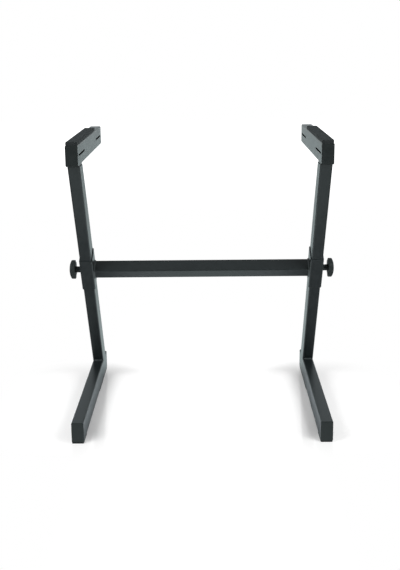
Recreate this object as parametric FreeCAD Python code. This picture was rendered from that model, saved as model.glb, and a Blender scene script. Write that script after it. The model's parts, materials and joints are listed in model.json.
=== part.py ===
import FreeCAD, Part
import math
import os

from FreeCAD import Vector

# Z-style keyboard stand: two Z frames of rectangular steel tube, joined by a crossbar whose sleeves
# slide on the leaning diagonals and are clamped there by two hand knobs.
# Millimetres. +X is the player's right seen from the front, +Y is away from the player, +Z is up.
# The origin is the middle of the stand's footprint box, on the floor.

# Rectangular tube of the feet, the diagonals and the arms
tube_width = 30.0
tube_depth = 50.0
tube_wall = 1.5
tube_corner = 3.0

# Z frames
frame_width = 632.0        # over the outer faces of both frames
foot_length = 560.0        # over both end caps
foot_tail = 30.0           # foot behind the diagonal
diagonal_length = 695.0
diagonal_lean = 30.0       # degrees from upright, top towards the player
arm_length = 515.0         # over both end caps
arm_nose = 28.0            # arm in front of the diagonal

# Plastic end caps
cap_flange = 4.0
cap_edge = 1.5
plug_depth = 14.0
plug_wall = 2.0
plug_clearance = 0.1

# Rubber pads under the feet
floor_pad_thickness = 2.5
floor_pad_inset = 0.5
floor_pad_corner = 3.0
floor_pad_edge = 0.5
front_pad_length = 60.0
rear_pad_length = 200.0

# Rubber strips on the arms
arm_pad_thickness = 8.0
arm_pad_length = 375.0
arm_pad_inset = 1.0        # from the front and the sides of the arm
arm_pad_corner = 5.0
arm_pad_edge = 2.0

# Long slots in the inner wall of each arm
slot_length = 112.0
slot_width = 5.0
slot_end_distance = 20.0

# Bracket under each arm: a plate and a spigot that plugs into the diagonal
bracket_plate = 4.0
bracket_inset = 1.6
spigot_wall = 2.0
spigot_clearance = 0.2
spigot_reach = 90.0

# M6 screws through the back of each diagonal into nuts in the spigot
screw_radius = 3.0
screw_hole_clearance = 0.2
screw_head_radius = 5.25
screw_head_height = 3.3
screw_head_rim = 0.8
screw_end = 1.5
screw_spacing = 35.0
screw_top_distance = 30.0
socket_flats = 4.0
socket_depth = 2.0
nut_flats = 10.0
nut_height = 5.0

# Crossbar and its two sleeves
crossbar_depth = 42.0
crossbar_height = 25.0
crossbar_wall = 1.5
crossbar_corner = 2.5
sleeve_length = 103.0
sleeve_wall = 2.0
sleeve_corner = 3.0
sleeve_rim = 1.8
sleeve_clearance = 0.4
sleeve_place = 338.5       # along the diagonal, from the foot to the middle of the sleeve
crossbar_drop = 1.5        # axis of the crossbar and the knobs under the middle of the sleeve

# Weld beads
foot_weld_leg = 4.0
foot_weld_bulge = 0.5
crossbar_weld_leg = 4.0
crossbar_weld_edge = 0.2   # thickness of the bead where it runs out on the crossbar

# Threaded bosses on the sleeves, and the M8 studs of the knobs
stud_radius = 4.0
thread_clearance = 0.05
stud_hole_clearance = 0.4
stud_in_grip = 14.0
boss_radius = 8.25
boss_length = 7.6
boss_chamfer = 0.8

# Hand knobs
knob_gap = 0.4
hub_radius = 8.25
hub_length = 7.5
head_radius = 25.0
head_thickness = 15.5
head_rim = 10.0
head_edge = 1.5
head_flat = 6.0
lobe_count = 6
scallop_radius = 14.0
scallop_depth = 3.0

# Nylon tip that swivels in the end of each stud
tip_radius = 2.5
tip_length = 4.0
tip_proud = 1.0
tip_gap = 0.1
tip_clearance = 0.05

# What follows from those sizes
lean = math.radians(diagonal_lean)
frame_middle_x = (frame_width - tube_width) / 2
foot_top_z = floor_pad_thickness + tube_depth
diagonal_top_z = foot_top_z + diagonal_length * math.cos(lean)
arm_bottom_z = diagonal_top_z + bracket_plate
arm_top_z = arm_bottom_z + tube_depth
diagonal_footprint = tube_depth / math.cos(lean)
diagonal_shift = diagonal_length * math.sin(lean)

foot_to_diagonal = foot_length - foot_tail - diagonal_footprint
foot_to_arm = foot_to_diagonal - diagonal_shift - arm_nose
foremost = min(0.0, foot_to_arm)
rearmost = max(foot_length, foot_to_arm + arm_length)
foot_front_y = -(foremost + rearmost) / 2
diagonal_y = foot_front_y + foot_to_diagonal
diagonal_top_y = diagonal_y - diagonal_shift
arm_front_y = foot_front_y + foot_to_arm

# Places along the diagonal's back wall, measured as sleeve_place is
back_top = (diagonal_top_z - foot_top_z - tube_depth * math.sin(lean)) / math.cos(lean)
screw_places = [back_top - screw_top_distance - i * screw_spacing for i in range(2)]
spigot_bottom = back_top - spigot_reach

# Places across one frame, outwards from its middle
sleeve_outside = tube_width / 2 + sleeve_clearance + sleeve_wall
boss_end = sleeve_outside + boss_length
knob_start = boss_end + knob_gap
tip_face = tube_width / 2 + tip_gap
stud_start = tip_face + tip_proud
stud_end = knob_start + stud_in_grip
crossbar_length = 2 * (frame_middle_x - sleeve_outside)

X_AXIS = Vector(1, 0, 0)
Y_AXIS = Vector(0, 1, 0)
Z_AXIS = Vector(0, 0, 1)
ORIGIN = Vector(0, 0, 0)
SIDES = {"left": -1, "right": 1}


def rounded_face(width, depth, corner):
    """A rectangle with rounded corners, centred on the origin in the XY plane."""
    x, y = width / 2, depth / 2
    a, b = x - corner, y - corner
    k = corner * math.sqrt(0.5)
    edges = []
    for (sx, sy), backwards in (((1, 1), False), ((-1, 1), True), ((-1, -1), False), ((1, -1), True)):
        side = Vector(sx * x, sy * b, 0)
        end = Vector(sx * a, sy * y, 0)
        middle = Vector(sx * (a + k), sy * (b + k), 0)
        first, last = (end, side) if backwards else (side, end)
        edges.append(Part.Arc(first, middle, last).toShape())
    ends = [edge.valueAt(edge.LastParameter) for edge in edges]
    starts = [edge.valueAt(edge.FirstParameter) for edge in edges]
    outline = []
    for i in range(4):
        outline += [edges[i], Part.makeLine(ends[i], starts[(i + 1) % 4])]
    return Part.Face(Part.Wire(outline))


def bar(width, depth, corner, length):
    """A solid bar of rounded section, standing on the XY plane."""
    return rounded_face(width, depth, corner).extrude(Vector(0, 0, length))


def tube(width, depth, corner, wall, length):
    """A rectangular tube, standing on the XY plane."""
    bore_corner = max(corner - wall, wall / 4)
    bore = bar(width - 2 * wall, depth - 2 * wall, bore_corner, length)
    return bar(width, depth, corner, length).cut(bore)


def edges_at(shape, z):
    """The edges of a shape that lie wholly at one height."""
    return [e for e in shape.Edges if abs(e.BoundBox.ZMin - z) < 1e-6 and abs(e.BoundBox.ZMax - z) < 1e-6]


def turned(shape, axis, angle):
    copy = shape.copy()
    copy.rotate(ORIGIN, axis, angle)
    return copy


def moved(shape, x=0.0, y=0.0, z=0.0):
    copy = shape.copy()
    copy.translate(Vector(x, y, z))
    return copy


def along_y(shape):
    """Lays a standing shape down so that its top points to +Y."""
    return turned(shape, X_AXIS, -90)


def outwards(shape, side):
    """Lays a standing shape down so that its top points away from the stand's middle."""
    return turned(shape, Y_AXIS, 90 * side)


def leaning(shape):
    """Puts a shape on the diagonal: local Y runs from its front wall to its back, local Z along it."""
    return moved(turned(shape, X_AXIS, diagonal_lean), 0, diagonal_y, foot_top_z)


def on_frame(shape, side):
    return moved(shape, side * frame_middle_x)


def slab(low, high):
    """A wide slab between two heights, to cut the diagonal's ends level."""
    reach = 2 * (foot_length + arm_length + diagonal_length)
    return Part.makeBox(reach, reach, high - low, Vector(-reach / 2, -reach / 2, low))


def end_cap():
    """A plastic end cap with its flange up and its hollow plug down."""
    flange = bar(tube_width, tube_depth, tube_corner, cap_flange)
    flange = flange.makeFillet(cap_edge, edges_at(flange, cap_flange))
    gap = 2 * (tube_wall + plug_clearance)
    plug = tube(tube_width - gap, tube_depth - gap, tube_corner - plug_clearance, plug_wall, plug_depth)
    return flange.fuse(moved(plug, 0, 0, -plug_depth)).removeSplitter()


def foot_parts(side):
    middle_z = floor_pad_thickness + tube_depth / 2
    rear_y = foot_front_y + foot_length
    body = tube(tube_width, tube_depth, tube_corner, tube_wall, foot_length - 2 * cap_flange)
    front_cap = turned(end_cap(), X_AXIS, 90)
    parts = {
        "foot_tube": moved(along_y(body), 0, foot_front_y + cap_flange, middle_z),
        "foot_front_cap": moved(front_cap, 0, foot_front_y + cap_flange, middle_z),
        "foot_rear_cap": moved(along_y(end_cap()), 0, rear_y - cap_flange, middle_z),
        "foot_front_pad": floor_pad(front_pad_length, foot_front_y + floor_pad_inset),
        "foot_rear_pad": floor_pad(rear_pad_length, rear_y - floor_pad_inset - rear_pad_length),
    }
    return {name: on_frame(shape, side) for name, shape in parts.items()}


def floor_pad(length, start_y):
    pad = bar(tube_width - 2 * floor_pad_inset, length, floor_pad_corner, floor_pad_thickness)
    pad = pad.makeFillet(floor_pad_edge, edges_at(pad, 0))
    return moved(pad, 0, start_y + length / 2)


def diagonal_blank(margin):
    """The diagonal's tube before its ends are cut level."""
    length = diagonal_length + 2 * margin
    return moved(tube(tube_width, tube_depth, tube_corner, tube_wall, length), 0, tube_depth / 2, -margin)


def screw_holes():
    """Bars from the middle of the diagonal out through the back walls of the spigot and the diagonal."""
    radius = screw_radius + screw_hole_clearance
    starts = [Vector(0, tube_depth / 2, z) for z in screw_places]
    holes = [Part.makeCylinder(radius, tube_depth, start, Y_AXIS) for start in starts]
    return leaning(Part.makeCompound(holes))


def diagonal_parts(side):
    cut = leaning(diagonal_blank(tube_depth)).common(slab(foot_top_z, diagonal_top_z))
    return {
        "diagonal_tube": on_frame(cut.cut(screw_holes()), side),
        "foot_welds": on_frame(foot_welds(), side),
    }


def weld_bead(corner, first, second):
    """A bead with a rounded face in a corner between two directions, along the frame's width."""
    start = corner + first * foot_weld_leg
    end = corner + second * foot_weld_leg
    bulge = (start + end) * 0.5 + (first + second).normalize() * foot_weld_bulge
    arc = Part.Arc(start, bulge, end).toShape()
    wire = Part.Wire([Part.makeLine(corner, start), arc, Part.makeLine(end, corner)])
    width = tube_width - 2 * tube_corner
    return moved(Part.Face(wire).extrude(Vector(width, 0, 0)), -width / 2)


def foot_welds():
    """Two beads where the diagonal stands on the foot, at its front and its back."""
    up = Vector(0, -math.sin(lean), math.cos(lean))
    front = Vector(0, diagonal_y, foot_top_z)
    back = Vector(0, diagonal_y + diagonal_footprint, foot_top_z)
    return Part.makeCompound([weld_bead(front, Vector(0, -1, 0), up), weld_bead(back, Vector(0, 1, 0), up)])


def bracket():
    """The plate under the arm with the spigot that plugs into the diagonal."""
    width = tube_width - 2 * bracket_inset
    depth = diagonal_footprint - 2 * bracket_inset
    corner = Vector(-width / 2, diagonal_top_y + bracket_inset, diagonal_top_z)
    plate = Part.makeBox(width, depth, bracket_plate, corner)
    gap = 2 * (tube_wall + spigot_clearance)
    spigot = tube(tube_width - gap, tube_depth - gap, tube_corner, spigot_wall, diagonal_length)
    spigot = leaning(moved(spigot, 0, tube_depth / 2, spigot_bottom))
    spigot = spigot.common(slab(foot_top_z, diagonal_top_z)).cut(screw_holes())
    return plate.fuse(spigot).removeSplitter()


def hexagon(flats, height):
    radius = flats / math.sqrt(3)
    angles = [i * math.pi / 3 for i in range(7)]
    points = [Vector(radius * math.cos(a), radius * math.sin(a), 0) for a in angles]
    return Part.Face(Part.makePolygon(points)).extrude(Vector(0, 0, height))


def dome_arc(radius, flat, low, high):
    """The arc of a round cap, from its rim at one height to the radius where its top is level."""
    rise = high - low
    run = radius - flat
    ball = (run ** 2 + rise ** 2) / (2 * rise)
    half = math.asin(run / ball) / 2
    middle = Vector(flat + ball * math.sin(half), 0, high - ball + ball * math.cos(half))
    return Part.Arc(Vector(radius, 0, low), middle, Vector(flat, 0, high)).toShape()


def turned_solid(points, closing):
    """The solid that an outline of straight runs and one closing arc sweeps round the Z axis."""
    outline = Part.Wire(Part.makePolygon(points).Edges + [closing])
    return Part.Face(outline).revolve(ORIGIN, Z_AXIS, 360)


def arm_screw():
    """A button-head screw with its head up and its seat on the XY plane."""
    reach = tube_wall + spigot_clearance + spigot_wall + nut_height + screw_end
    points = [Vector(0, 0, screw_head_height), Vector(0, 0, -reach), Vector(screw_radius, 0, -reach),
              Vector(screw_radius, 0, 0), Vector(screw_head_radius, 0, 0),
              Vector(screw_head_radius, 0, screw_head_rim)]
    screw = turned_solid(points, dome_arc(screw_head_radius, 0, screw_head_rim, screw_head_height))
    return screw.cut(moved(hexagon(socket_flats, socket_depth), 0, 0, screw_head_height - socket_depth))


def screw_parts(side):
    screw = along_y(arm_screw())
    nut = hexagon(nut_flats, nut_height).cut(Part.makeCylinder(screw_radius + thread_clearance, nut_height))
    nut_y = tube_depth - tube_wall - spigot_clearance - spigot_wall - nut_height
    screws = Part.makeCompound([moved(screw, 0, tube_depth, z) for z in screw_places])
    nuts = Part.makeCompound([moved(along_y(nut), 0, nut_y, z) for z in screw_places])
    return {"arm_screws": on_frame(leaning(screws), side), "arm_nuts": on_frame(leaning(nuts), side)}


def slot_cutter(side):
    """A bar with the slot's outline, lying along Y, from the arm's middle out through its inner wall."""
    radius = slot_width / 2
    straight = slot_length / 2 - radius
    ends = [Part.Arc(Vector(0, sign * straight, -sign * radius),
                     Vector(0, sign * (straight + radius), 0),
                     Vector(0, sign * straight, sign * radius)).toShape() for sign in (1, -1)]
    runs = [Part.makeLine(Vector(0, sign * straight, sign * radius),
                          Vector(0, -sign * straight, sign * radius)) for sign in (1, -1)]
    outline = Part.Wire([ends[0], runs[0], ends[1], runs[1]])
    return Part.Face(outline).extrude(Vector(-side * tube_width, 0, 0))


def arm_parts(side):
    middle_z = arm_bottom_z + tube_depth / 2
    rear_y = arm_front_y + arm_length
    body = tube(tube_width, tube_depth, tube_corner, tube_wall, arm_length - 2 * cap_flange)
    body = moved(along_y(body), 0, arm_front_y + cap_flange, middle_z)
    reach = slot_end_distance + slot_length / 2
    for y in (arm_front_y + reach, rear_y - reach):
        body = body.cut(moved(slot_cutter(side), 0, y, middle_z))
    front_cap = turned(end_cap(), X_AXIS, 90)
    pad = bar(tube_width - 2 * arm_pad_inset, arm_pad_length, arm_pad_corner, arm_pad_thickness)
    pad = pad.makeFillet(arm_pad_edge, edges_at(pad, arm_pad_thickness))
    parts = {
        "arm_bracket": bracket(),
        "arm_tube": body,
        "arm_front_cap": moved(front_cap, 0, arm_front_y + cap_flange, middle_z),
        "arm_rear_cap": moved(along_y(end_cap()), 0, rear_y - cap_flange, middle_z),
        "arm_pad": moved(pad, 0, arm_front_y + arm_pad_inset + arm_pad_length / 2, arm_top_z),
    }
    return {name: on_frame(shape, side) for name, shape in parts.items()}


def on_sleeve(shape):
    """Puts a shape made about the middle of a sleeve into its place on the leaning diagonal."""
    return leaning(moved(shape, 0, tube_depth / 2, sleeve_place))


def on_crossbar(shape):
    """Puts a shape made about the middle of the crossbar into its place under the middle of the sleeves."""
    return on_sleeve(moved(shape, 0, 0, -crossbar_drop))


def sleeve(side):
    width = tube_width + 2 * sleeve_clearance
    depth = tube_depth + 2 * sleeve_clearance
    bore = bar(width, depth, max(sleeve_corner - sleeve_wall, sleeve_wall / 4), sleeve_length)
    body = bar(width + 2 * sleeve_wall, depth + 2 * sleeve_wall, sleeve_corner, sleeve_length)
    body = body.makeFillet(sleeve_rim, edges_at(body, 0) + edges_at(body, sleeve_length))
    body = on_sleeve(moved(body.cut(bore), 0, 0, -sleeve_length / 2))
    hole = Part.makeCylinder(stud_radius + stud_hole_clearance, tube_width)
    return on_frame(body.cut(on_crossbar(outwards(hole, side))), side)


def boss(side):
    """The round threaded boss on the outer wall of a sleeve."""
    body = Part.makeCylinder(boss_radius, boss_length)
    body = body.makeChamfer(boss_chamfer, edges_at(body, boss_length))
    body = body.cut(Part.makeCylinder(stud_radius + thread_clearance, boss_length))
    return on_frame(on_crossbar(moved(outwards(body, side), side * sleeve_outside)), side)


def crossbar():
    body = tube(crossbar_height, crossbar_depth, crossbar_corner, crossbar_wall, crossbar_length)
    return on_crossbar(turned(moved(body, 0, 0, -crossbar_length / 2), Y_AXIS, 90))


def crossbar_weld(side):
    """The fillet of weld round one end of the crossbar, on the inner wall of the sleeve."""
    outlines = []
    for height, out in ((0, crossbar_weld_leg), (crossbar_weld_leg, crossbar_weld_edge)):
        face = rounded_face(crossbar_height + 2 * out, crossbar_depth + 2 * out, crossbar_corner + out)
        outlines.append(moved(face, 0, 0, height).OuterWire)
    fillet = Part.makeLoft(outlines, True, True)
    fillet = fillet.cut(bar(crossbar_height, crossbar_depth, crossbar_corner, crossbar_weld_leg))
    return on_crossbar(moved(outwards(fillet, -side), side * crossbar_length / 2))


def knob_grip():
    """The moulded knob with its hub down, its inner end on the XY plane and its axis on Z."""
    top = hub_length + head_thickness
    rim_top = hub_length + head_rim
    points = [Vector(head_flat, 0, top), Vector(0, 0, top), Vector(0, 0, 0), Vector(hub_radius, 0, 0),
              Vector(hub_radius, 0, hub_length), Vector(head_radius - head_edge, 0, hub_length),
              Vector(head_radius, 0, hub_length + head_edge), Vector(head_radius, 0, rim_top)]
    grip = turned_solid(points, dome_arc(head_radius, head_flat, rim_top, top))
    scallop_place = head_radius - scallop_depth + scallop_radius
    for i in range(lobe_count):
        angle = (i + 0.5) * 2 * math.pi / lobe_count
        place = Vector(scallop_place * math.cos(angle), scallop_place * math.sin(angle), hub_length)
        grip = grip.cut(Part.makeCylinder(scallop_radius, head_thickness, place))
    return grip.cut(Part.makeCylinder(stud_radius + thread_clearance, stud_in_grip))


def knob_parts(side):
    stud = Part.makeCylinder(stud_radius, stud_end - stud_start)
    stud = stud.cut(Part.makeCylinder(tip_radius + tip_clearance, tip_length - tip_proud))
    tip = Part.makeCylinder(tip_radius, tip_length)
    parts = {
        "knob_grip": (knob_grip(), knob_start),
        "knob_stud": (stud, stud_start),
        "clamp_tip": (tip, tip_face),
    }
    return {name: on_frame(on_crossbar(moved(outwards(shape, side), side * start)), side)
            for name, (shape, start) in parts.items()}


def stand():
    nodes = {"crossbar_tube": crossbar()}
    for name, side in SIDES.items():
        parts = {}
        for make in (foot_parts, diagonal_parts, screw_parts, arm_parts, knob_parts):
            parts.update(make(side))
        parts["sleeve"] = sleeve(side)
        parts["clamp_boss"] = boss(side)
        parts["crossbar_weld"] = crossbar_weld(side)
        for part_name, shape in parts.items():
            nodes[name + "_" + part_name] = shape
    return nodes


os.makedirs("parts", exist_ok=True)
for node, shape in stand().items():
    shape.exportStep("parts/" + node + ".step")

lowest = (foot_weld_leg + sleeve_clearance + sleeve_wall) / math.cos(lean)
print("slide direction", 0.0, round(-math.sin(lean), 6), round(math.cos(lean), 6))
print("sleeve can go down", round(sleeve_place - sleeve_length / 2 - lowest, 1))
print("sleeve can go up", round(screw_places[-1] - screw_head_radius - sleeve_length / 2 - sleeve_place, 1))
print("foot front y", round(foot_front_y, 3), "arm front y", round(arm_front_y, 3))
print("arm bottom z", round(arm_bottom_z, 3), "top of the stand", round(arm_top_z + arm_pad_thickness, 3))
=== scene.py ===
"""Looks of a z-style keyboard stand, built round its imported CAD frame."""

import json
import math
import random

import bmesh
import bpy
from mathutils import Matrix, Vector

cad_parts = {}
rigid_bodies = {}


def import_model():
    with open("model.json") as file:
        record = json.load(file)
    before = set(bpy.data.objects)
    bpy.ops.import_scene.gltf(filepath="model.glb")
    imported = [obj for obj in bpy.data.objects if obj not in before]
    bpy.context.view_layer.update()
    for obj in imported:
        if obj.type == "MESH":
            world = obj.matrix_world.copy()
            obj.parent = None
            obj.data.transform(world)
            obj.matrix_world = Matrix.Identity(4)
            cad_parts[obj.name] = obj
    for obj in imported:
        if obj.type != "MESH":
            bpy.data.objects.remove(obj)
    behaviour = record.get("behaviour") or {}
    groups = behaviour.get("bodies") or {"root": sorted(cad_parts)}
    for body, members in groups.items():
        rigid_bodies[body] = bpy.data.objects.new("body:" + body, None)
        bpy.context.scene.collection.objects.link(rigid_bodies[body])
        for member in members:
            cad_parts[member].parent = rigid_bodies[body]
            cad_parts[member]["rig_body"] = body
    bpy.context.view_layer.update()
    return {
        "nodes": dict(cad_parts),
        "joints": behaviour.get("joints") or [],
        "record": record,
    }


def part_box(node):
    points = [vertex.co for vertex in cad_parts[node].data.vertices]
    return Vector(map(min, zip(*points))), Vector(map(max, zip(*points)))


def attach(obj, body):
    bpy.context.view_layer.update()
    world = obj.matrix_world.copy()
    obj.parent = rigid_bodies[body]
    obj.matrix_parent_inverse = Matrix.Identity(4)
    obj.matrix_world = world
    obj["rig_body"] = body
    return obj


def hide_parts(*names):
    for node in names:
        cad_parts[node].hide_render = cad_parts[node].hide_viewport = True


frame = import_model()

# Everything is in metres, in the frame of the CAD: X to the right, Y to the back, Z up.
MM = 0.001
NEAR = 0.01 * MM
SIDES = {"left": -1, "right": 1}
Y, Z = 1, 2

# A face counts as level or upright by the part of its normal that points up.
LEVEL = 0.9
UPRIGHT = 0.1

# Edges sharper than these angles in degrees stay crisp.
CRISP = 30
KNOB_CRISP = 40
BEAD_CRISP = 60

# Tube and end caps
TUBE_WIDTH = 30 * MM
TUBE_DEPTH = 50 * MM
TUBE_CORNER = 3 * MM
TUBE_WALL = 1.5 * MM
CAP_FLANGE = 4 * MM
CAP_EDGE = 1.5 * MM
CORNER_STEPS = 8
CAP_EDGE_STEPS = 6
PLUG_EDGE_STEPS = 2
PLUG_CLEARANCE = 0.1 * MM
PLUG_DEPTH = 14 * MM
PLUG_WALL = 2 * MM
PLUG_EDGE = 0.5 * MM

# Rubber
ARM_PAD_CORNER = 5 * MM
ARM_PAD_EDGE = 2 * MM
FLOOR_PAD_CORNER = 3 * MM
FLOOR_PAD_EDGE = 0.5 * MM
PAD_EDGE_STEPS = 5

# Sleeves and crossbar
SLEEVE_WALL = 2 * MM
SLEEVE_CORNER = 3 * MM
SLEEVE_RIM_EDGE = 1.8 * MM
SLEEVE_MOUTH_EDGE = 0.15 * MM
SLEEVE_CORNER_STEPS = 10
SLEEVE_RIM_STEPS = 6
SLEEVE_MOUTH_STEPS = 2
STUD_HOLE_RADIUS = 4.4 * MM
STUD_HOLE_STEPS = 48
CROSSBAR_DEPTH = 42 * MM
CROSSBAR_HEIGHT = 25 * MM
CROSSBAR_CORNER = 2.5 * MM
CROSSBAR_DROP = 1.5 * MM

# Weld beads: ripples vary by shares of their size and of their step
RIPPLE_STEP = 1.8 * MM
RIPPLE_LENGTH = 2.3 * MM
RIPPLE_SIZES = (0.95, 1.04)
RIPPLE_SHIFT = 0.12
RIPPLE_SEGMENTS = 20
RIPPLE_RINGS = 12
WELD_SEED = 41
BEAD_VOXEL = 0.42 * MM
BEAD_BITE = 0.5 * MM
CROSSBAR_BEAD_RADIUS = 3.9 * MM
CROSSBAR_BEAD_SINK = 0.7 * MM
FOOT_BEAD_RADIUS = 3.6 * MM
FOOT_BEAD_LENGTH = 24 * MM
FOOT_BEAD_SINKS = {"front": 0.1 * MM, "back": 0.9 * MM}

# Clamp knobs: a head with finger hollows, domed from its rim up to a small flat
HUB_RADIUS = 8.25 * MM
HUB_LENGTH = 7.5 * MM
HUB_EDGE = 0.5 * MM
HUB_FILLET = 1 * MM
HEAD_RADIUS = 25 * MM
HEAD_THICKNESS = 15.5 * MM
HEAD_RIM = 10 * MM
HEAD_FLAT = 6 * MM
HEAD_EDGE = 1.5 * MM
# The rounding over the rim, as shares of the edge: how far in and how far down
RIM_ROUNDING = ((0.06, 0.62), (0.25, 0.27), (0.6, 0.06), (1.1, 0.0))
# Rings of the dome, as shares of the head's radius
DOME_RINGS = (0.86, 0.76, 0.64, 0.5, 0.36, 0.22, 0.1)
QUARTER_TURN = tuple(math.radians(angle) for angle in (22.5, 45, 67.5, 90))
LOBES = 6
SCALLOP_RADIUS = 14 * MM
SCALLOP_DEPTH = 3 * MM
SCALLOP_BLEND = 1.5 * MM
LOBE_STEPS = 20
BORE_RADIUS = 4.05 * MM
BORE_DEPTH = 14 * MM

# The diagonals lean by the angle that the crossbar's slide has.
slide = next(joint for joint in frame["joints"] if joint["name"] == "crossbar_height")
UP_DIAGONAL = Vector(slide["axis"]).normalized()
LEAN = math.atan2(-UP_DIAGONAL.y, UP_DIAGONAL.z)
ACROSS_DIAGONAL = Vector((0, math.cos(LEAN), math.sin(LEAN)))


def select_only(piece):
    """Makes the piece the one object that is selected and active."""
    bpy.ops.object.select_all(action="DESELECT")
    piece.select_set(True)
    bpy.context.view_layer.objects.active = piece


def named(piece, name):
    piece.name = name
    piece.data.name = name
    return piece


def box_piece(name, low, high):
    """A cube primitive that fills the box between two corners, its place in the mesh."""
    bpy.ops.object.select_all(action="DESELECT")
    bpy.ops.mesh.primitive_cube_add(size=1, location=(low + high) / 2, scale=high - low)
    bpy.ops.object.transform_apply(location=True, rotation=True, scale=True)
    return named(bpy.context.object, name)


def pick(piece, kind, test):
    """In edit mode, selects the vertices, edges or faces that pass the test, and nothing else."""
    bpy.ops.mesh.select_mode(type=kind)
    bpy.ops.mesh.select_all(action="DESELECT")
    mesh = bmesh.from_edit_mesh(piece.data)
    for part in {"VERT": mesh.verts, "EDGE": mesh.edges, "FACE": mesh.faces}[kind]:
        if test(part):
            part.select_set(True)
    mesh.select_flush_mode()
    bmesh.update_edit_mesh(piece.data)


def lies_at(part, axis, place):
    """Whether every corner of an edge or a face lies at that place on the axis."""
    return all(abs(corner.co[axis] - place) < NEAR for corner in part.verts)


def runs_along(edge, axis):
    """Whether an edge is parallel to the axis."""
    way = edge.verts[1].co - edge.verts[0].co
    return abs(way[axis]) > way.length - NEAR


def apply_modifier(piece, kind, **settings):
    select_only(piece)
    modifier = piece.modifiers.new(kind.lower(), kind)
    for name, value in settings.items():
        setattr(modifier, name, value)
    bpy.ops.object.modifier_apply(modifier=modifier.name)


def shade(piece, angle):
    """Smooth shading that keeps edges sharper than the angle, and flat faces flat."""
    select_only(piece)
    bpy.ops.object.shade_smooth_by_angle(angle=math.radians(angle))
    apply_modifier(piece, "WEIGHTED_NORMAL", keep_sharp=True)


def placed_copy(source, name, matrix):
    """A copy with a mesh of its own, moved by the matrix, its place in the mesh."""
    copy = source.copy()
    copy.data = source.data.copy()
    bpy.context.collection.objects.link(copy)
    copy.matrix_world = matrix
    select_only(copy)
    bpy.ops.object.transform_apply(location=True, rotation=True, scale=True)
    return named(copy, name)


def drop(piece):
    """Removes an object that was only there to be copied."""
    mesh = piece.data
    bpy.data.objects.remove(piece)
    bpy.data.meshes.remove(mesh)


def paint(piece, material):
    piece.data.materials.clear()
    piece.data.materials.append(material)


def stand_for(piece, node_name, material):
    """The piece is painted, shown in place of a CAD node and moves with that node's body."""
    paint(piece, material)
    body = frame["nodes"][node_name]["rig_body"]
    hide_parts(node_name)
    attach(piece, body)


def end_cap():
    """A push-in tube cap at the origin: face towards -Y, hollow plug towards +Y."""
    half = Vector((TUBE_WIDTH / 2, 0, TUBE_DEPTH / 2))
    cap = box_piece("end_cap", -half - Vector((0, CAP_FLANGE, 0)), half)
    bpy.ops.object.mode_set(mode="EDIT")
    pick(cap, "EDGE", lambda edge: runs_along(edge, Y))
    bpy.ops.mesh.bevel(offset=TUBE_CORNER, segments=CORNER_STEPS, affect="EDGES")
    pick(cap, "EDGE", lambda edge: lies_at(edge, Y, -CAP_FLANGE))
    bpy.ops.mesh.bevel(offset=CAP_EDGE, segments=CAP_EDGE_STEPS, affect="EDGES")
    pick(cap, "FACE", lambda face: lies_at(face, Y, 0))
    bpy.ops.mesh.inset(thickness=TUBE_WALL + PLUG_CLEARANCE)
    bpy.ops.mesh.extrude_region_move(TRANSFORM_OT_translate={"value": (0, PLUG_DEPTH, 0)})
    bpy.ops.mesh.inset(thickness=PLUG_WALL)
    bpy.ops.mesh.extrude_region_move(TRANSFORM_OT_translate={"value": (0, -PLUG_DEPTH, 0)})
    pick(cap, "FACE", lambda face: lies_at(face, Y, PLUG_DEPTH))
    bpy.ops.mesh.region_to_loop()
    bpy.ops.mesh.bevel(offset=PLUG_EDGE, segments=PLUG_EDGE_STEPS, affect="EDGES")
    bpy.ops.object.mode_set(mode="OBJECT")
    return cap


def pad_piece(node_name, corner, edge, face_up):
    """A moulded strip as large as its CAD node: rounded in plan, and round the edge of one flat side."""
    low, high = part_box(node_name)
    pad = box_piece(node_name + "_strip", low, high)
    bpy.ops.object.mode_set(mode="EDIT")
    pick(pad, "EDGE", lambda side: runs_along(side, Z))
    bpy.ops.mesh.bevel(offset=corner, segments=CORNER_STEPS, affect="EDGES")
    pick(pad, "EDGE", lambda side: lies_at(side, Z, high.z if face_up else low.z))
    bpy.ops.mesh.bevel(offset=edge, segments=PAD_EDGE_STEPS, affect="EDGES")
    bpy.ops.object.mode_set(mode="OBJECT")
    shade(pad, CRISP)
    return pad


def at_an_end(edge, reach):
    """Whether an edge lies wholly in one of the two end planes of a sleeve."""
    return lies_at(edge, Z, reach) or lies_at(edge, Z, -reach)


def borders_skin(edge, way):
    """Whether an edge borders an upright face that looks outwards (way 1) or inwards (way -1)."""
    upright = [face for face in edge.link_faces if abs(face.normal.z) < UPRIGHT]
    return any(face.normal.dot(face.calc_center_median()) * way > 0 for face in upright)


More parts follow.
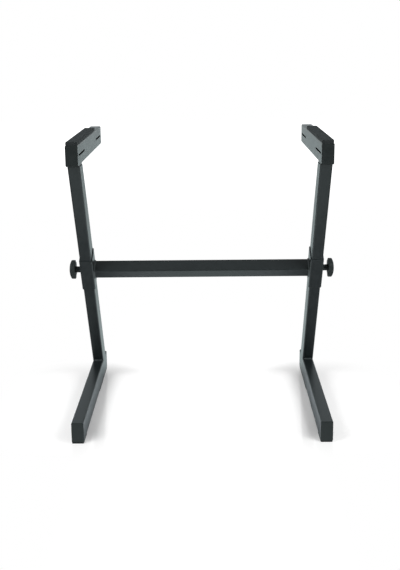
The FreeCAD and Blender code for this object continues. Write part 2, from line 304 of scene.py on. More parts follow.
def sleeve(width, depth, length):
    """A sleeve of rounded rectangular tube at the origin, along Z, with the stud's hole in its +X wall."""
    half = Vector((width, depth, length)) / 2
    body = box_piece("sleeve", -half, half)
    bpy.ops.object.mode_set(mode="EDIT")
    pick(body, "EDGE", lambda edge: runs_along(edge, Z))
    bpy.ops.mesh.bevel(offset=SLEEVE_CORNER, segments=SLEEVE_CORNER_STEPS, affect="EDGES")
    pick(body, "FACE", lambda face: abs(face.normal.z) > LEVEL)
    bpy.ops.mesh.delete(type="FACE")
    bpy.ops.object.mode_set(mode="OBJECT")
    apply_modifier(body, "SOLIDIFY", thickness=SLEEVE_WALL, offset=-1, use_even_offset=True)
    bpy.ops.object.mode_set(mode="EDIT")
    pick(body, "EDGE", lambda edge: at_an_end(edge, half.z) and borders_skin(edge, 1))
    bpy.ops.mesh.bevel(offset=SLEEVE_RIM_EDGE, segments=SLEEVE_RIM_STEPS, affect="EDGES")
    pick(body, "EDGE", lambda edge: at_an_end(edge, half.z) and borders_skin(edge, -1))
    bpy.ops.mesh.bevel(offset=SLEEVE_MOUTH_EDGE, segments=SLEEVE_MOUTH_STEPS, affect="EDGES")
    bpy.ops.object.mode_set(mode="OBJECT")
    bpy.ops.object.select_all(action="DESELECT")
    bpy.ops.mesh.primitive_cylinder_add(vertices=STUD_HOLE_STEPS, radius=STUD_HOLE_RADIUS, depth=width / 2,
                                        location=(half.x, 0, -CROSSBAR_DROP), rotation=(0, math.pi / 2, 0))
    drill = bpy.context.object
    apply_modifier(body, "BOOLEAN", operation="DIFFERENCE", object=drill, solver="EXACT")
    drop(drill)
    return body


def lobed_radius(angle):
    """Radius of the knob's head at an angle, with a lobe at 0 and finger hollows between the lobes."""
    pitch = 2 * math.pi / LOBES
    from_hollow = angle % pitch - pitch / 2
    hollow_place = HEAD_RADIUS - SCALLOP_DEPTH + SCALLOP_RADIUS
    aside = hollow_place * math.sin(from_hollow)
    if abs(aside) >= SCALLOP_RADIUS:
        return HEAD_RADIUS
    hollow = hollow_place * math.cos(from_hollow) - math.sqrt(SCALLOP_RADIUS ** 2 - aside ** 2)
    blend = max(SCALLOP_BLEND - abs(hollow - HEAD_RADIUS), 0) / SCALLOP_BLEND
    return min(hollow, HEAD_RADIUS) - blend ** 2 * SCALLOP_BLEND / 4


def dome_height(radius):
    """Height of the domed outer side of the knob, over the start of its hub."""
    rise = HEAD_THICKNESS - HEAD_RIM
    run = HEAD_RADIUS - HEAD_FLAT
    ball = (run ** 2 + rise ** 2) / (2 * rise)
    past_flat = max(radius - HEAD_FLAT, 0)
    return HUB_LENGTH + HEAD_THICKNESS - ball + math.sqrt(ball ** 2 - past_flat ** 2)


def next_ring(piece, place):
    """Extrudes the selected ring and moves the vertices of each phase of the lobes
    to the radius and height that place gives for their angle."""
    bpy.ops.mesh.extrude_region_move()
    mesh = bmesh.from_edit_mesh(piece.data)
    ring = {vertex.index: vertex for vertex in mesh.verts if vertex.select}
    step = 2 * math.pi / (LOBES * LOBE_STEPS)
    phases = {}
    for index, vertex in ring.items():
        phase = round(math.atan2(vertex.co.y, vertex.co.x) / step) % LOBE_STEPS
        phases.setdefault(phase, []).append(index)
    for phase, members in phases.items():
        radius, height = place(phase * step)
        mesh = bmesh.from_edit_mesh(piece.data)
        mesh.verts.ensure_lookup_table()
        first = mesh.verts[members[0]].co.copy()
        scale = radius / math.hypot(first.x, first.y)
        chosen = set(members)
        pick(piece, "VERT", lambda vertex: vertex.index in chosen)
        bpy.ops.transform.resize(value=(scale, scale, 1), center_override=(0, 0, first.z))
        bpy.ops.transform.translate(value=(0, 0, height - first.z))
    pick(piece, "VERT", lambda vertex: vertex.index in ring)


def knob():
    """The clamp knob at the origin: hub from z 0, lobed and domed head towards +Z, a lobe at +X."""
    bpy.ops.object.select_all(action="DESELECT")
    bpy.ops.mesh.primitive_circle_add(vertices=LOBES * LOBE_STEPS, radius=HUB_RADIUS - HUB_EDGE,
                                      fill_type="NOTHING", location=(0, 0, 0))
    grip = named(bpy.context.object, "knob")
    rings = [lambda angle: (HUB_RADIUS, HUB_EDGE)]
    rings.append(lambda angle: (HUB_RADIUS, HUB_LENGTH - HUB_FILLET))
    for turn in QUARTER_TURN:
        rings.append(lambda angle, turn=turn: (HUB_RADIUS + HUB_FILLET * (1 - math.cos(turn)),
                                               HUB_LENGTH - HUB_FILLET * (1 - math.sin(turn))))
    rings.append(lambda angle: (lobed_radius(angle) - HEAD_EDGE, HUB_LENGTH))
    for turn in QUARTER_TURN:
        rings.append(lambda angle, turn=turn: (lobed_radius(angle) - HEAD_EDGE * (1 - math.sin(turn)),
                                               HUB_LENGTH + HEAD_EDGE * (1 - math.cos(turn))))
    rings.append(lambda angle: (lobed_radius(angle), dome_height(lobed_radius(angle)) - HEAD_EDGE))
    for inwards, down in RIM_ROUNDING:
        rings.append(lambda angle, inwards=inwards, down=down: (
            lobed_radius(angle) - inwards * HEAD_EDGE,
            dome_height(lobed_radius(angle) - inwards * HEAD_EDGE) - down * HEAD_EDGE))
    for share in DOME_RINGS:
        rings.append(lambda angle, share=share: (share * lobed_radius(angle),
                                                 dome_height(share * lobed_radius(angle))))
    bpy.ops.object.mode_set(mode="EDIT")
    bpy.ops.mesh.select_mode(type="VERT")
    bpy.ops.mesh.select_all(action="SELECT")
    for place in rings:
        next_ring(grip, place)
    bpy.ops.mesh.merge(type="CENTER")
    pick(grip, "EDGE", lambda edge: lies_at(edge, Z, 0))
    bpy.ops.mesh.edge_face_add()
    bpy.ops.mesh.select_mode(type="FACE")
    bpy.ops.mesh.inset(thickness=HUB_RADIUS - HUB_EDGE - BORE_RADIUS)
    bpy.ops.mesh.extrude_region_move(TRANSFORM_OT_translate={"value": (0, 0, BORE_DEPTH)})
    bpy.ops.mesh.select_all(action="SELECT")
    bpy.ops.mesh.normals_make_consistent(inside=False)
    bpy.ops.object.mode_set(mode="OBJECT")
    return grip


def bead(name, places, radius, chance):
    """A weld bead: one ripple, copied to each place along the joint and melted into one skin.
    A place is its middle, the way along the joint and a way out of the joint."""
    bpy.ops.object.select_all(action="DESELECT")
    bpy.ops.mesh.primitive_uv_sphere_add(segments=RIPPLE_SEGMENTS, ring_count=RIPPLE_RINGS, radius=1,
                                         location=(0, 0, 0))
    ripple = named(bpy.context.object, "ripple")
    copies = []
    for number, (middle, along, out) in enumerate(places):
        size = radius * chance.uniform(*RIPPLE_SIZES)
        shift = along * chance.uniform(-RIPPLE_SHIFT, RIPPLE_SHIFT) * RIPPLE_STEP
        side = along.cross(out).normalized()
        turn = Matrix((along, out, side)).transposed().to_4x4()
        matrix = Matrix.Translation(middle + shift) @ turn @ Matrix.Diagonal((RIPPLE_LENGTH, size, size, 1))
        copies.append(placed_copy(ripple, f"ripple_{number}", matrix))
    drop(ripple)
    bpy.ops.object.select_all(action="DESELECT")
    for copy in copies:
        copy.select_set(True)
    bpy.context.view_layer.objects.active = copies[0]
    bpy.ops.object.join()
    skin = named(bpy.context.object, name)
    apply_modifier(skin, "REMESH", mode="VOXEL", voxel_size=BEAD_VOXEL)
    apply_modifier(skin, "SMOOTH", factor=0.5, iterations=2)
    return skin


def cut_away(piece, point, way):
    """Cuts off what lies beyond a plane and closes the cut."""
    select_only(piece)
    bpy.ops.object.mode_set(mode="EDIT")
    bpy.ops.mesh.select_all(action="SELECT")
    bpy.ops.mesh.bisect(plane_co=point, plane_no=way, use_fill=True, clear_outer=True)
    bpy.ops.object.mode_set(mode="OBJECT")


def round_outline(width, height, corner, step):
    """Points spaced evenly round a rounded rectangle: (place, way along, way out) in its own plane."""
    flat_width = width - 2 * corner
    flat_height = height - 2 * corner
    arc = corner * math.pi / 2
    length = 2 * (flat_width + flat_height) + 4 * arc
    count = round(length / step)
    found = []
    for number in range(count):
        rest = number * length / count
        for turn, flat in enumerate((flat_width, flat_height, flat_width, flat_height)):
            start_angle = turn * math.pi / 2
            along = Vector((math.cos(start_angle), math.sin(start_angle)))
            out = Vector((along.y, -along.x))
            reach = (height, width)[turn % 2] / 2
            if rest < flat:
                found.append((out * reach + along * (rest - flat / 2), along, out))
                break
            rest -= flat
            if rest < arc:
                angle = start_angle + rest / corner
                middle = out * (reach - corner) + along * flat / 2
                along = Vector((math.cos(angle), math.sin(angle)))
                out = Vector((along.y, -along.x))
                found.append((middle + out * corner, along, out))
                break
            rest -= arc
    return found


def crossbar_bead(side_name, chance):
    """The bead round one end of the crossbar, against the inner wall of the sleeve."""
    side = SIDES[side_name]
    node_name = side_name + "_crossbar_weld"
    low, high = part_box(node_name)
    wall_x = high.x if side > 0 else low.x
    centre = Vector((wall_x, (low.y + high.y) / 2, (low.z + high.z) / 2))
    inwards = Vector((-side, 0, 0))
    places = []
    for place, along, out in round_outline(CROSSBAR_DEPTH, CROSSBAR_HEIGHT, CROSSBAR_CORNER, RIPPLE_STEP):
        way_out = ACROSS_DIAGONAL * out.x + UP_DIAGONAL * out.y
        middle = centre + ACROSS_DIAGONAL * place.x + UP_DIAGONAL * place.y
        middle -= (way_out + inwards) * CROSSBAR_BEAD_SINK
        places.append((middle, ACROSS_DIAGONAL * along.x + UP_DIAGONAL * along.y, way_out))
    piece = bead(node_name + "_bead", places, CROSSBAR_BEAD_RADIUS, chance)
    cut_away(piece, centre - inwards * BEAD_BITE, -inwards)
    shade(piece, BEAD_CRISP)
    return piece


def foot_beads(side_name, chance):
    """The two beads where the diagonal stands on the foot, at its front and at its back."""
    low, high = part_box(side_name + "_diagonal_tube")
    middle_x = (low.x + high.x) / 2
    joint_depth = TUBE_DEPTH / math.cos(LEAN)
    corners = {"front": high.y - joint_depth, "back": high.y}
    ways = {"front": Vector((0, -1, 0)), "back": Vector((0, 1, 0))}
    pieces = []
    for end, joint_y in corners.items():
        out = (ways[end] + UP_DIAGONAL).normalized()
        count = round(FOOT_BEAD_LENGTH / RIPPLE_STEP)
        run = FOOT_BEAD_LENGTH - 2 * RIPPLE_LENGTH
        places = []
        for number in range(count):
            x = middle_x + (number / (count - 1) - 0.5) * run
            middle = Vector((x, joint_y, low.z)) - out * FOOT_BEAD_SINKS[end]
            places.append((middle, Vector((1, 0, 0)), out))
        pieces.append(bead(f"{side_name}_foot_bead_{end}", places, FOOT_BEAD_RADIUS, chance))
        cut_away(pieces[-1], Vector((0, 0, low.z - BEAD_BITE)), Vector((0, 0, -1)))
    bpy.ops.object.select_all(action="DESELECT")
    for piece in pieces:
        piece.select_set(True)
    bpy.context.view_layer.objects.active = pieces[0]
    bpy.ops.object.join()
    both = named(bpy.context.object, side_name + "_foot_weld_beads")
    shade(both, BEAD_CRISP)
    return both


# Settings and sockets of the nodes that ease between two values and that mix two colours
SMOOTH = {"interpolation_type": "SMOOTHSTEP"}
COLOURS = {"data_type": "RGBA"}
MIX_A, MIX_B, MIX_RESULT = 6, 7, 2
WHITE = "#FFFFFF"
BLACK = "#000000"


def srgb(code):
    """A colour written as a hex code, as the linear values that a shader takes."""
    shares = [int(code[start:start + 2], 16) / 255 for start in (1, 3, 5)]
    linear = [share / 12.92 if share <= 0.04045 else ((share + 0.055) / 1.055) ** 2.4 for share in shares]
    return (*linear, 1.0)


def per_mm(size):
    """Scale of a noise whose grains are about that many millimetres large."""
    return 1 / (size * MM)


def add(tree, kind, settings=None, inputs=None):
    """Adds a node: settings are its own values, inputs are values or the sockets to link."""
    made = tree.nodes.new(kind)
    for name, value in (settings or {}).items():
        setattr(made, name, value)
    for name, value in (inputs or {}).items():
        if isinstance(value, bpy.types.NodeSocket):
            tree.links.new(value, made.inputs[name])
        else:
            made.inputs[name].default_value = value
    return made


def finish_material(name, colours, patch, roughness, grain, grain_depth,
                    ior=1.5, metallic=0.0, specular=0.5):
    """A surface with a slow drift between two colours and two roughnesses, and a fine raised grain.
    Patch and grain are sizes in millimetres, and the grain's depth is in millimetres too."""
    material = bpy.data.materials.new(name)
    material.use_nodes = True
    tree = material.node_tree
    tree.nodes.clear()
    place = add(tree, "ShaderNodeTexCoord").outputs["Object"]
    drift = add(tree, "ShaderNodeTexNoise", None,
                {"Vector": place, "Scale": per_mm(patch), "Detail": 3.0, "Roughness": 0.55})
    spread = add(tree, "ShaderNodeMapRange", None,
                 {"Value": drift.outputs["Fac"], "From Min": 0.35, "From Max": 0.65})
    colour = add(tree, "ShaderNodeMix", COLOURS,
                 {"Factor": spread.outputs["Result"], MIX_A: srgb(colours[0]), MIX_B: srgb(colours[1])})
    rough = add(tree, "ShaderNodeMapRange", None,
                {"Value": spread.outputs["Result"], "To Min": roughness[0], "To Max": roughness[1]})
    peel = add(tree, "ShaderNodeTexNoise", None,
               {"Vector": place, "Scale": per_mm(grain), "Detail": 2.0, "Roughness": 0.5})
    raised = add(tree, "ShaderNodeBump", None,
                 {"Strength": 1.0, "Distance": grain_depth * MM, "Height": peel.outputs["Fac"]})
    shader = add(tree, "ShaderNodeBsdfPrincipled", None,
                 {"Base Color": colour.outputs[MIX_RESULT], "Roughness": rough.outputs["Result"],
                  "Metallic": metallic, "IOR": ior, "Specular IOR Level": specular,
                  "Normal": raised.outputs["Normal"]})
    add(tree, "ShaderNodeOutputMaterial", None, {"Surface": shader.outputs["BSDF"]})
    return material


# Satin charcoal powder coat on steel: faint orange peel, soft reflections that grow pale at a glance
powder_coat = finish_material("satin_powder_coat", ("#181D1E", "#1C2122"), patch=22,
                              roughness=(0.305, 0.335), grain=1.3, grain_depth=0.01, ior=1.6)
# Moulded black polyethylene of the end caps: matt, with a fine spark-eroded grain
cap_plastic = finish_material("moulded_polyethylene", ("#1A1F1F", "#1E2323"), patch=14,
                              roughness=(0.37, 0.43), grain=0.4, grain_depth=0.008)
# Foamed EVA rubber of the arm strips: dull from the front, a soft pale bloom at a glance, small pores
pad_rubber = finish_material("foamed_eva_rubber", ("#1D2122", "#212526"), patch=9,
                             roughness=(0.64, 0.72), grain=0.5, grain_depth=0.02)
# Solid rubber of the floor strips: near black and dull
floor_rubber = finish_material("solid_rubber", ("#101111", "#151616"), patch=12,
                               roughness=(0.85, 0.95), grain=0.5, grain_depth=0.02, specular=0.15)
# Glass-filled nylon of the knobs: black with a soft sheen along the rim
knob_plastic = finish_material("glass_filled_nylon", ("#1F2424", "#232828"), patch=8,
                               roughness=(0.52, 0.6), grain=0.5, grain_depth=0.01, specular=0.35)
# Black-oxide steel of the arm screws and brackets: oiled satin black, a little darker than the coat
black_steel = finish_material("black_oxide_steel", ("#161819", "#1B1D1E"), patch=4,
                              roughness=(0.32, 0.38), grain=0.3, grain_depth=0.004)
# Powder coat over the ripples of a weld, a little rougher; its greyer colour is a painted highlight for the
# light line along each weld
weld_highlight_coat = finish_material("weld_coat_painted_highlight", ("#2E3334", "#373C3D"), patch=3,
                            roughness=(0.4, 0.5), grain=0.8, grain_depth=0.03, ior=1.6)
# Zinc-plated steel of studs and nuts: pale cool metal with a slightly uneven gloss
zinc_steel = finish_material("zinc_plated_steel", ("#B4B8BB", "#A6ABB0"), patch=3,
                             roughness=(0.28, 0.4), grain=0.3, grain_depth=0.004, metallic=1.0)
# Natural nylon of the clamp tips: off-white and waxy
nylon = finish_material("natural_nylon", ("#D8D3C4", "#CEC9BA"), patch=3,
                        roughness=(0.42, 0.5), grain=0.3, grain_depth=0.006)

SLOT_MATERIALS = {
    "powder_coat": powder_coat,
    "cap_plastic": cap_plastic,
    "pad_rubber": pad_rubber,
    "knob_plastic": knob_plastic,
    "black_steel": black_steel,
    "zinc_steel": zinc_steel,
    "nylon": nylon,
}

# The CAD nodes that stay shown keep their shapes and take the finish of their slot.
for entry in frame["record"]["subparts"]:
    paint(frame["nodes"][entry["node"]], SLOT_MATERIALS[entry["material_slot"]])

# End caps
cap_source = end_cap()
for side_name in SIDES:
    for member in ("foot", "arm"):
        for end, turn in (("front", 0), ("rear", math.pi)):
            node_name = f"{side_name}_{member}_{end}_cap"
            tube_low, tube_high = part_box(f"{side_name}_{member}_tube")
            middle = (tube_low + tube_high) / 2
            middle.y = tube_low.y if end == "front" else tube_high.y
            matrix = Matrix.Translation(middle) @ Matrix.Rotation(turn, 4, "Z")
            cap = placed_copy(cap_source, f"{side_name}_{member}_{end}_end_cap", matrix)
            shade(cap, CRISP)
            stand_for(cap, node_name, cap_plastic)
drop(cap_source)

# Rubber strips on the arms and under the feet
for side_name in SIDES:
    node_name = side_name + "_arm_pad"
    strip = pad_piece(node_name, ARM_PAD_CORNER, ARM_PAD_EDGE, face_up=True)
    stand_for(strip, node_name, pad_rubber)
    for end in ("front", "rear"):
        node_name = f"{side_name}_foot_{end}_pad"
        strip = pad_piece(node_name, FLOOR_PAD_CORNER, FLOOR_PAD_EDGE, face_up=False)
        stand_for(strip, node_name, floor_rubber)

# Sleeves: the depth and length of the leaning sleeve follow from the box round the CAD sleeve.
sleeve_low, sleeve_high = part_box("right_sleeve")
across = sleeve_high - sleeve_low
slant = math.cos(2 * LEAN)
sleeve_depth = (across.y * math.cos(LEAN) - across.z * math.sin(LEAN)) / slant
sleeve_length = (across.z * math.cos(LEAN) - across.y * math.sin(LEAN)) / slant
sleeve_source = sleeve(across.x, sleeve_depth, sleeve_length)
for side_name, side in SIDES.items():
    node_name = side_name + "_sleeve"
    low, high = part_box(node_name)
    matrix = Matrix.Translation((low + high) / 2) @ Matrix.Rotation(LEAN, 4, "X")
    matrix @= Matrix.Rotation(0 if side > 0 else math.pi, 4, "Z")
    piece = placed_copy(sleeve_source, side_name + "_sliding_sleeve", matrix)
    shade(piece, CRISP)
    stand_for(piece, node_name, powder_coat)
drop(sleeve_source)

# Clamp knobs
knob_source = knob()
for side_name, side in SIDES.items():
    node_name = side_name + "_knob_grip"
    low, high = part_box(node_name)
    start = (low + high) / 2
    start.x = low.x if side > 0 else high.x
    matrix = Matrix.Translation(start) @ Matrix.Rotation(side * math.pi / 2, 4, "Y")
    piece = placed_copy(knob_source, side_name + "_clamp_knob", matrix)
    shade(piece, KNOB_CRISP)
    stand_for(piece, node_name, knob_plastic)
drop(knob_source)

# Welds, each one different, from one seeded run of chance
chance = random.Random(WELD_SEED)
# The beads take the greyer weld coat, whose colour is a painted highlight
for side_name in SIDES:
    piece = crossbar_bead(side_name, chance)
    stand_for(piece, side_name + "_crossbar_weld", weld_highlight_coat)
    piece = foot_beads(side_name, chance)
    stand_for(piece, side_name + "_foot_welds", weld_highlight_coat)

# Floor: a pale, faintly glossy sheet. The shadow stays whole in a strip round each foot, from front to back
# and aside of the foot's middle, and runs out to white between two distances from that strip.
FLOOR_HALF = 9.0
FLOOR_DROP = 0.2 * MM
SHADOW_FRONT = -200 * MM
SHADOW_BACK = 130 * MM
SHADOW_ASIDE = 55 * MM
SHADOW_FADE = (30 * MM, 200 * MM)
PAPER_SEEN = "#E9E9E9"
PAPER_LIGHTING = "#EDEDED"
# The paper near the feet glows a little: painted light that lightens its shadows
PAPER_PAINTED_GLOW = 0.07
PAPER_GLOSS = "#B8B0AD"
PAPER_GLOSS_ROUGHNESS = 0.03

# The floor as the stand mirrors it: bright between the feet, dimmer outside them and in front of them, and
# with a glow in the middle and far at the back. Pairs are places in metres where a change starts and ends.
NEAR_INSIDE = "#DAE4E9"
NEAR_OUTSIDE = "#787F82"
NEAR_OUTER = (0.24, 0.37)
FAR_INSIDE = "#DCECED"
FAR_OUTSIDE = "#4E5355"
FAR_OUTER = (0.27, 0.75)
FAR_WIDENING = 0.07
FRONT_DIM = (-0.45, -0.25)
FRONT_DIM_SHARE = 0.35
FAR_BACK = (3.0, 5.5)
FAR_BACK_STRENGTH = 1.5
MIDDLE = (0.12, 0.3)
MIDDLE_BACK = (0.3, 1.0)
MIDDLE_GLOW = 0.25


def floor_paper():
    """White coated paper: near the feet it takes a soft shadow and a faint reflection, and further off
    it is plain white."""
    material = bpy.data.materials.new("white_floor_paper")
    material.use_nodes = True
    tree = material.node_tree
    tree.nodes.clear()
    rays = add(tree, "ShaderNodeLightPath")
    place = add(tree, "ShaderNodeTexCoord").outputs["Object"]
    ahead = add(tree, "ShaderNodeSeparateXYZ", None, {"Vector": place})

    # Distance from the strip round the nearer foot
    foot_low, foot_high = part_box("right_foot_tube")
    foot_x = (foot_low.x + foot_high.x) / 2
    from_middle = add(tree, "ShaderNodeVectorMath", {"operation": "SUBTRACT"},
                      {0: place, 1: (0, (SHADOW_FRONT + SHADOW_BACK) / 2, 0)})
    either_side = add(tree, "ShaderNodeVectorMath", {"operation": "ABSOLUTE"},
                      {0: from_middle.outputs["Vector"]})
    from_foot = add(tree, "ShaderNodeVectorMath", {"operation": "SUBTRACT"},
                    {0: either_side.outputs["Vector"], 1: (foot_x, 0, 0)})
    off_foot = add(tree, "ShaderNodeVectorMath", {"operation": "ABSOLUTE"}, {0: from_foot.outputs["Vector"]})
    beyond = add(tree, "ShaderNodeVectorMath", {"operation": "SUBTRACT"},
                 {0: off_foot.outputs["Vector"], 1: (SHADOW_ASIDE, (SHADOW_BACK - SHADOW_FRONT) / 2, 0)})
    outside = add(tree, "ShaderNodeVectorMath", {"operation": "MAXIMUM"}, {0: beyond.outputs["Vector"]})
    distance = add(tree, "ShaderNodeVectorMath", {"operation": "LENGTH"}, {0: outside.outputs["Vector"]})
    away = add(tree, "ShaderNodeMapRange", SMOOTH,
               {"Value": distance.outputs["Value"], "From Min": SHADOW_FADE[0], "From Max": SHADOW_FADE[1]})
    sideways = add(tree, "ShaderNodeSeparateXYZ", None, {"Vector": either_side.outputs["Vector"]})

    # Near the feet: lit paper with a faint gloss, and a faint painted glow that lightens its shadows
    outer = add(tree, "ShaderNodeMapRange", SMOOTH,
                {"Value": sideways.outputs["X"], "From Min": NEAR_OUTER[0], "From Max": NEAR_OUTER[1]})
    mirrored = add(tree, "ShaderNodeMix", COLOURS,
                   {"Factor": outer.outputs["Result"], MIX_A: srgb(NEAR_INSIDE), MIX_B: srgb(NEAR_OUTSIDE)})
    seen = add(tree, "ShaderNodeMix", COLOURS,
               {"Factor": rays.outputs["Is Camera Ray"],
                MIX_A: srgb(PAPER_LIGHTING), MIX_B: srgb(PAPER_SEEN)})
    paper = add(tree, "ShaderNodeMix", COLOURS,
                {"Factor": rays.outputs["Is Glossy Ray"], MIX_A: seen.outputs[MIX_RESULT],
                 MIX_B: mirrored.outputs[MIX_RESULT]})
    lit = add(tree, "ShaderNodeBsdfDiffuse", None, {"Color": paper.outputs[MIX_RESULT]})
    painted_glow = add(tree, "ShaderNodeEmission", None, {"Color": paper.outputs[MIX_RESULT], "Strength": PAPER_PAINTED_GLOW})
    dull = add(tree, "ShaderNodeAddShader", None, {0: lit.outputs["BSDF"], 1: painted_glow.outputs["Emission"]})
    gloss_colour = add(tree, "ShaderNodeMix", COLOURS,
                       {"Factor": rays.outputs["Is Camera Ray"],
                        MIX_A: srgb(BLACK), MIX_B: srgb(PAPER_GLOSS)})
    gloss = add(tree, "ShaderNodeBsdfAnisotropic", None,
                {"Color": gloss_colour.outputs[MIX_RESULT], "Roughness": PAPER_GLOSS_ROUGHNESS})
    near_floor = add(tree, "ShaderNodeAddShader", None, {0: dull.outputs["Shader"], 1: gloss.outputs["BSDF"]})

    # Further off: white to the eye, shaded only where the stand mirrors it
    widening = add(tree, "ShaderNodeMath", {"operation": "MULTIPLY_ADD"},
                   {0: ahead.outputs["Y"], 1: -FAR_WIDENING, 2: sideways.outputs["X"]})
    far_aside = add(tree, "ShaderNodeMapRange", SMOOTH,
                    {"Value": widening.outputs["Value"], "From Min": FAR_OUTER[0], "From Max": FAR_OUTER[1]})
    in_front = add(tree, "ShaderNodeMapRange", SMOOTH,
                   {"Value": ahead.outputs["Y"], "From Min": FRONT_DIM[0], "From Max": FRONT_DIM[1],
                    "To Min": FRONT_DIM_SHARE, "To Max": 0.0})
    dimmed = add(tree, "ShaderNodeMath", {"operation": "MAXIMUM"},
                 {0: far_aside.outputs["Result"], 1: in_front.outputs["Result"]})
    far_mirrored = add(tree, "ShaderNodeMix", COLOURS,
                       {"Factor": dimmed.outputs["Value"], MIX_A: srgb(FAR_INSIDE), MIX_B: srgb(FAR_OUTSIDE)})
    far_colour = add(tree, "ShaderNodeMix", COLOURS,
                     {"Factor": rays.outputs["Is Glossy Ray"], MIX_A: srgb(WHITE),
                      MIX_B: far_mirrored.outputs[MIX_RESULT]})
    far_strength = add(tree, "ShaderNodeMapRange", None,
                       {"Value": ahead.outputs["Y"], "From Min": FAR_BACK[0], "From Max": FAR_BACK[1],
                        "To Min": 1.0, "To Max": FAR_BACK_STRENGTH})
    in_middle = add(tree, "ShaderNodeMapRange", SMOOTH,
                    {"Value": sideways.outputs["X"], "From Min": MIDDLE[0], "From Max": MIDDLE[1],
                     "To Min": MIDDLE_GLOW, "To Max": 0.0})
    close = add(tree, "ShaderNodeMapRange", SMOOTH,
                {"Value": ahead.outputs["Y"], "From Min": MIDDLE_BACK[0], "From Max": MIDDLE_BACK[1],
                 "To Min": 1.0, "To Max": 0.0})
    glow = add(tree, "ShaderNodeMath", {"operation": "MULTIPLY_ADD"},
               {0: in_middle.outputs["Result"], 1: close.outputs["Result"],
                2: far_strength.outputs["Result"]})
    far_floor = add(tree, "ShaderNodeEmission", None,
                    {"Color": far_colour.outputs[MIX_RESULT], "Strength": glow.outputs["Value"]})

    sheet = add(tree, "ShaderNodeMixShader", None,
                {0: away.outputs["Result"], 1: near_floor.outputs["Shader"],
                 2: far_floor.outputs["Emission"]})
    add(tree, "ShaderNodeOutputMaterial", None, {"Surface": sheet.outputs["Shader"]})
    return material


bpy.ops.object.select_all(action="DESELECT")
bpy.ops.mesh.primitive_plane_add(size=2 * FLOOR_HALF, location=(0, 0, -FLOOR_DROP))
bpy.ops.object.transform_apply(location=True, rotation=True, scale=True)
floor = named(bpy.context.object, "floor")
paint(floor, floor_paper())

# Surroundings. The stand mirrors shades that go from the horizon (0) to straight overhead (1). Pairs are the
# part of a direction that points aside, to the back or up, where a bright part starts and ends.
SKY_SHADES = ((0.0, "#F6FFFF"), (0.1, "#EEF9FA"), (0.15, "#E4F0F2"), (0.22, "#939A9D"), (1.0, "#B4BABB"))
BACKDROP_ASIDE = (0.2, 0.45)
BACKDROP_BACK = (-0.1, 0.75)
CEILING_UP = (0.5, 0.85)
CEILING_SHARE = 0.5
PANEL_ASIDE = (0.45, 0.75)
DIM_STRENGTH = 0.12
FILL_STRENGTH = 0.2


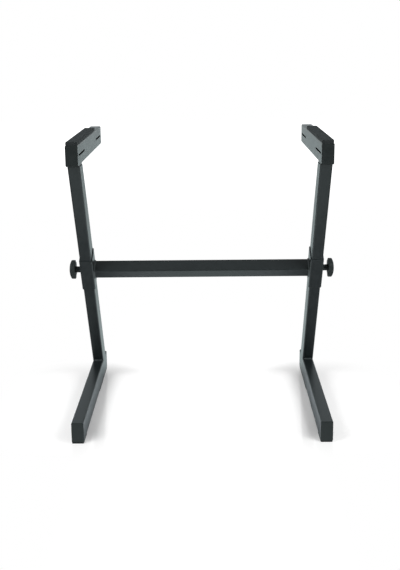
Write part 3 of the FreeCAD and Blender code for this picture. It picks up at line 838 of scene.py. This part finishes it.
def white_studio():
    """White to the eye, an even soft fill, and in reflections a bright backdrop behind the stand,
    a dimmer ceiling and a panel at each side."""
    world = bpy.data.worlds.new("white_studio")
    world.use_nodes = True
    tree = world.node_tree
    tree.nodes.clear()
    rays = add(tree, "ShaderNodeLightPath")
    way = add(tree, "ShaderNodeSeparateXYZ", None,
              {"Vector": add(tree, "ShaderNodeTexCoord").outputs["Generated"]})
    shade_of_height = add(tree, "ShaderNodeValToRGB", None, {"Fac": way.outputs["Z"]})
    ramp = shade_of_height.color_ramp
    ends = (ramp.elements[0], ramp.elements[1])
    for element, (position, code) in zip(ends, (SKY_SHADES[0], SKY_SHADES[-1])):
        element.position = position
        element.color = srgb(code)
    for position, code in SKY_SHADES[1:-1]:
        ramp.elements.new(position).color = srgb(code)
    aside = add(tree, "ShaderNodeMath", {"operation": "ABSOLUTE"}, {0: way.outputs["X"]})
    centre = add(tree, "ShaderNodeMapRange", SMOOTH,
                 {"Value": aside.outputs["Value"], "From Min": BACKDROP_ASIDE[0],
                  "From Max": BACKDROP_ASIDE[1], "To Min": 1.0, "To Max": 0.0})
    behind = add(tree, "ShaderNodeMapRange", SMOOTH,
                 {"Value": way.outputs["Y"], "From Min": BACKDROP_BACK[0], "From Max": BACKDROP_BACK[1]})
    backdrop = add(tree, "ShaderNodeMath", {"operation": "MULTIPLY"},
                   {0: centre.outputs["Result"], 1: behind.outputs["Result"]})
    ceiling = add(tree, "ShaderNodeMapRange", SMOOTH,
                  {"Value": way.outputs["Z"], "From Min": CEILING_UP[0], "From Max": CEILING_UP[1],
                   "To Max": CEILING_SHARE})
    panel = add(tree, "ShaderNodeMapRange", SMOOTH,
                {"Value": aside.outputs["Value"], "From Min": PANEL_ASIDE[0], "From Max": PANEL_ASIDE[1]})
    beside = add(tree, "ShaderNodeMath", {"operation": "MAXIMUM"},
                 {0: ceiling.outputs["Result"], 1: panel.outputs["Result"]})
    brightest = add(tree, "ShaderNodeMath", {"operation": "MAXIMUM"},
                    {0: backdrop.outputs["Value"], 1: beside.outputs["Value"]})
    strength = add(tree, "ShaderNodeMapRange", None,
                   {"Value": brightest.outputs["Value"], "To Min": DIM_STRENGTH, "To Max": 1.0})
    mirrored = add(tree, "ShaderNodeBackground", None,
                   {"Color": shade_of_height.outputs["Color"], "Strength": strength.outputs["Result"]})
    fill = add(tree, "ShaderNodeBackground", None, {"Color": srgb(WHITE), "Strength": FILL_STRENGTH})
    white = add(tree, "ShaderNodeBackground", None, {"Color": srgb(WHITE), "Strength": 1.0})
    seen = add(tree, "ShaderNodeMath", {"operation": "MAXIMUM"},
               {0: rays.outputs["Is Camera Ray"], 1: rays.outputs["Is Transmission Ray"]})
    soft = add(tree, "ShaderNodeMixShader", None,
               {0: rays.outputs["Is Glossy Ray"], 1: fill.outputs["Background"],
                2: mirrored.outputs["Background"]})
    all_round = add(tree, "ShaderNodeMixShader", None,
                    {0: seen.outputs["Value"], 1: soft.outputs["Shader"], 2: white.outputs["Background"]})
    add(tree, "ShaderNodeOutputWorld", None, {"Surface": all_round.outputs["Shader"]})
    return world


bpy.context.scene.world = white_studio()

# Two broad soft lights in front, one on each outer side: each foot's shadow falls inwards
LIGHT_POWER = 4.85
LIGHT_SIZE = 1.15
LIGHT_SPREAD = math.radians(68)
LIGHT_PLACE = Vector((1.05, -0.82, 1.15))
LIGHT_AIM = Vector((0.31, 0.15, 0))
for side_name, side in SIDES.items():
    lamp = bpy.data.lights.new(side_name + "_light", "AREA")
    lamp.shape = "DISK"
    lamp.size = LIGHT_SIZE
    lamp.energy = LIGHT_POWER
    lamp.spread = LIGHT_SPREAD
    light = bpy.data.objects.new(side_name + "_light", lamp)
    bpy.context.collection.objects.link(light)
    to_side = Vector((side, 1, 1))
    light.location = LIGHT_PLACE * to_side
    light.rotation_euler = ((LIGHT_AIM - LIGHT_PLACE) * to_side).to_track_quat("-Z", "Y").to_euler()
    light.visible_glossy = False

# Camera, from a fit of the CAD's corners to the photograph, with its angles in radians
CAMERA_SENSOR = 36
CAMERA_LENS = 61.445
CAMERA_PLACE = Vector((0.020254, -2.492249, 0.952032))
CAMERA_PITCH = 0.24976
CAMERA_YAW = 0.00989
CAMERA_ROLL = 0.01063
lens = bpy.data.cameras.new("camera")
lens.sensor_width = CAMERA_SENSOR
lens.lens = CAMERA_LENS
camera = bpy.data.objects.new("camera", lens)
bpy.context.collection.objects.link(camera)
camera.matrix_world = (Matrix.Translation(CAMERA_PLACE) @ Matrix.Rotation(CAMERA_YAW, 4, "Z")
                       @ Matrix.Rotation(math.pi / 2 - CAMERA_PITCH, 4, "X")
                       @ Matrix.Rotation(-CAMERA_ROLL, 4, "Z"))
bpy.context.scene.camera = camera
bpy.context.scene.view_settings.view_transform = "Standard"
